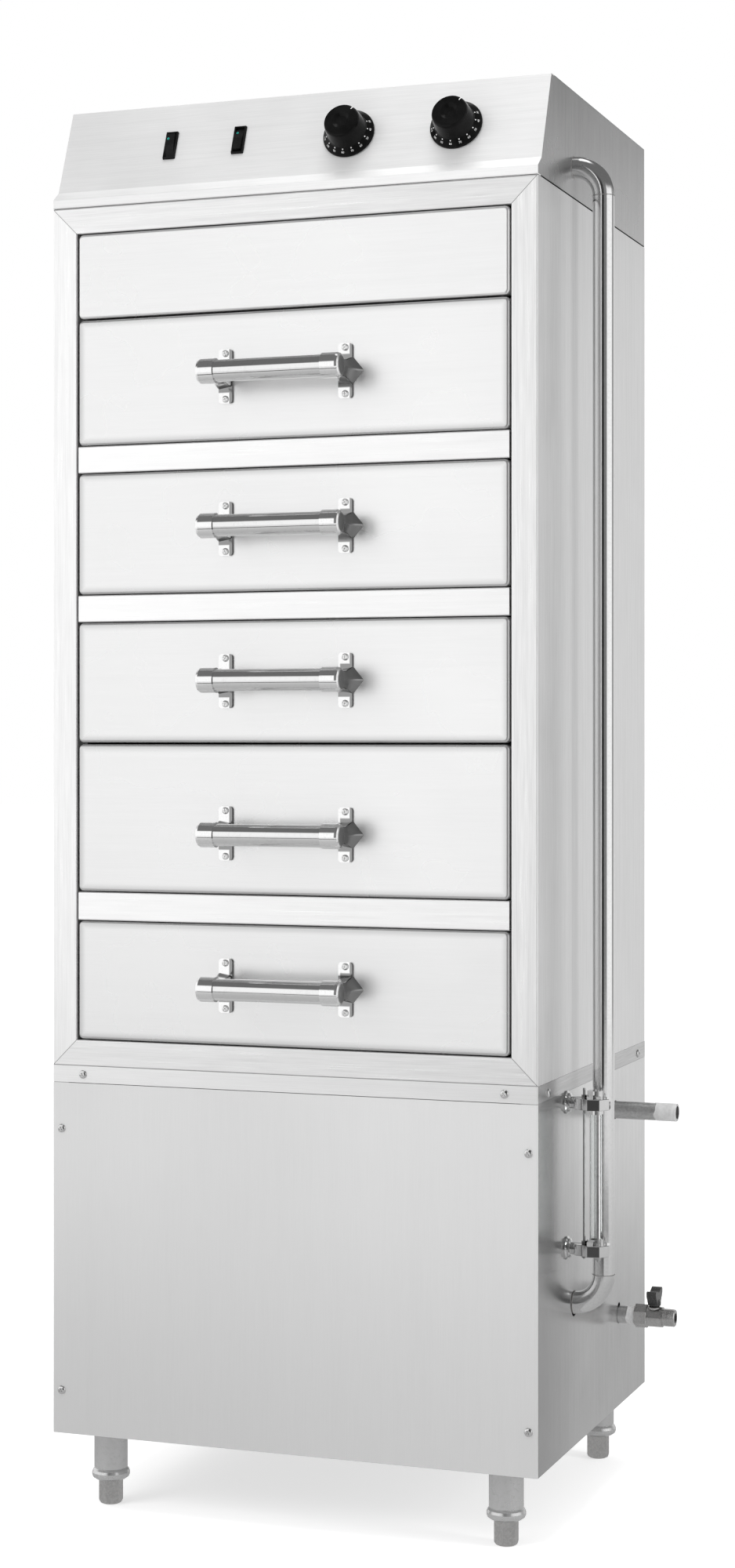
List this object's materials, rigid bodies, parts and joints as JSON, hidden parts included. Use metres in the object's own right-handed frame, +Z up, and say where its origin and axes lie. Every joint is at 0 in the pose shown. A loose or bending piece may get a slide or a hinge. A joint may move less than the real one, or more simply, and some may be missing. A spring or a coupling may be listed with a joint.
{
  "type": "dim sum steam cabinet",
  "caption": "Free-standing stainless steam cabinet: a water tank in the base, perforated drawers above it, and a sloped control box with dials and rocker switches.",
  "frame": {"origin": "middle of the bottom of the object's box, on the floor under the feet", "axes": "+Z up, -Y the drawer side, +X the side with the conduit, gauge, inlet and drain"},
  "size_m": [0.6802, 0.5716, 1.6715],
  "materials": {
    "brushed_sheet": "satin",
    "smooth_sheet": "satin",
    "drawer_sheet": "satin",
    "inner_sheet": "satin",
    "tube_steel": "satin",
    "chrome": "polished",
    "cast_chrome": "polished",
    "zinc": "matte",
    "valve_metal": "satin",
    "black_plastic": "gloss",
    "switch_plastic": "satin",
    "glass": "polished",
    "wool": "matte",
    "heater_steel": "satin",
    "screw_steel": "satin",
    "foot_metal": "satin",
    "pale_plastic": "matte"
  },
  "bodies": {
    "cabinet": {"base_front": "smooth_sheet", "base_walls": "brushed_sheet", "base_floor": "inner_sheet", "base_rim": "brushed_sheet", "side_panel_left": "brushed_sheet", "side_panel_right": "brushed_sheet", "back_panel": "brushed_sheet", "liner": "inner_sheet", "insulation": "wool", "front_frame": "brushed_sheet", "blank_panel": "drawer_sheet", "drawer_runners": "inner_sheet", "control_front": "brushed_sheet", "control_hood": "brushed_sheet", "control_cheeks": "brushed_sheet", "thermostats": "pale_plastic", "switch_housings": "switch_plastic", "mains_inlet": "black_plastic", "conduit_pipe": "tube_steel", "conduit_elbows": "tube_steel", "gauge_fittings": "cast_chrome", "gauge_glass": "glass", "gauge_rods": "chrome", "tank": "inner_sheet", "heater_elements": "heater_steel", "inlet_pipe": "zinc", "drain_nipple": "zinc", "valve_body": "valve_metal", "legs": "tube_steel", "cabinet_screws": "screw_steel"},
    "drawer_1": {"drawer_1_front": "drawer_sheet", "drawer_1_tray": "inner_sheet", "drawer_1_handle_tube": "chrome", "drawer_1_handle_brackets": "cast_chrome"},
    "drawer_2": {"drawer_2_front": "drawer_sheet", "drawer_2_tray": "inner_sheet", "drawer_2_handle_tube": "chrome", "drawer_2_handle_brackets": "cast_chrome"},
    "drawer_3": {"drawer_3_front": "drawer_sheet", "drawer_3_tray": "inner_sheet", "drawer_3_handle_tube": "chrome", "drawer_3_handle_brackets": "cast_chrome"},
    "drawer_4": {"drawer_4_front": "drawer_sheet", "drawer_4_tray": "inner_sheet", "drawer_4_handle_tube": "chrome", "drawer_4_handle_brackets": "cast_chrome"},
    "drawer_5": {"drawer_5_front": "drawer_sheet", "drawer_5_tray": "inner_sheet", "drawer_5_handle_tube": "chrome", "drawer_5_handle_brackets": "cast_chrome"},
    "dial_1": {"dial_1": "black_plastic"},
    "dial_2": {"dial_2": "black_plastic"},
    "rocker_1": {"rocker_1": "switch_plastic"},
    "rocker_2": {"rocker_2": "switch_plastic"},
    "valve_handle": {"valve_handle": "black_plastic"},
    "foot_front_left": {"foot_front_left": "foot_metal"},
    "foot_front_right": {"foot_front_right": "foot_metal"},
    "foot_rear_left": {"foot_rear_left": "foot_metal"},
    "foot_rear_right": {"foot_rear_right": "foot_metal"},
    "float_arm": {"float_arm": "pale_plastic"}
  },
  "joints": [
    {"name": "drawer_1_slide", "type": "slide", "parent": "cabinet", "child": "drawer_1", "axis": [0, -1, 0], "range_m": [0, 0.36]},
    {"name": "drawer_2_slide", "type": "slide", "parent": "cabinet", "child": "drawer_2", "axis": [0, -1, 0], "range_m": [0, 0.36]},
    {"name": "drawer_3_slide", "type": "slide", "parent": "cabinet", "child": "drawer_3", "axis": [0, -1, 0], "range_m": [0, 0.36]},
    {"name": "drawer_4_slide", "type": "slide", "parent": "cabinet", "child": "drawer_4", "axis": [0, -1, 0], "range_m": [0, 0.36]},
    {"name": "drawer_5_slide", "type": "slide", "parent": "cabinet", "child": "drawer_5", "axis": [0, -1, 0], "range_m": [0, 0.36]},
    {"name": "dial_1_turn", "type": "hinge", "parent": "cabinet", "child": "dial_1", "pos_m": [0.0259, -0.18908, 1.61501], "axis": [0, 0.9328, -0.3605], "range_deg": [0, 270]},
    {"name": "dial_2_turn", "type": "hinge", "parent": "cabinet", "child": "dial_2", "pos_m": [0.1563, -0.18908, 1.61501], "axis": [0, 0.9328, -0.3605], "range_deg": [0, 270]},
    {"name": "rocker_1_tilt", "type": "hinge", "parent": "cabinet", "child": "rocker_1", "pos_m": [-0.1999, -0.18581, 1.61793], "axis": [1, 0, 0], "range_deg": [-20, 0]},
    {"name": "rocker_2_tilt", "type": "hinge", "parent": "cabinet", "child": "rocker_2", "pos_m": [-0.1124, -0.18581, 1.61793], "axis": [1, 0, 0], "range_deg": [0, 20]},
    {"name": "valve_turn", "type": "hinge", "parent": "cabinet", "child": "valve_handle", "pos_m": [0.3071, 0.13375, 0.205], "axis": [0, 0, 1], "range_deg": [0, 90]},
    {"name": "foot_front_left_screw", "type": "slide", "parent": "cabinet", "child": "foot_front_left", "axis": [0, 0, -1], "range_m": [0, 0.03]},
    {"name": "foot_front_right_screw", "type": "slide", "parent": "cabinet", "child": "foot_front_right", "axis": [0, 0, -1], "range_m": [0, 0.03]},
    {"name": "foot_rear_left_screw", "type": "slide", "parent": "cabinet", "child": "foot_rear_left", "axis": [0, 0, -1], "range_m": [0, 0.03]},
    {"name": "foot_rear_right_screw", "type": "slide", "parent": "cabinet", "child": "foot_rear_right", "axis": [0, 0, -1], "range_m": [0, 0.03]},
    {"name": "float_swing", "type": "hinge", "parent": "cabinet", "child": "float_arm", "pos_m": [0.1941, 0.11675, 0.451], "axis": [0, 1, 0], "range_deg": [0, 30]}
  ]
}
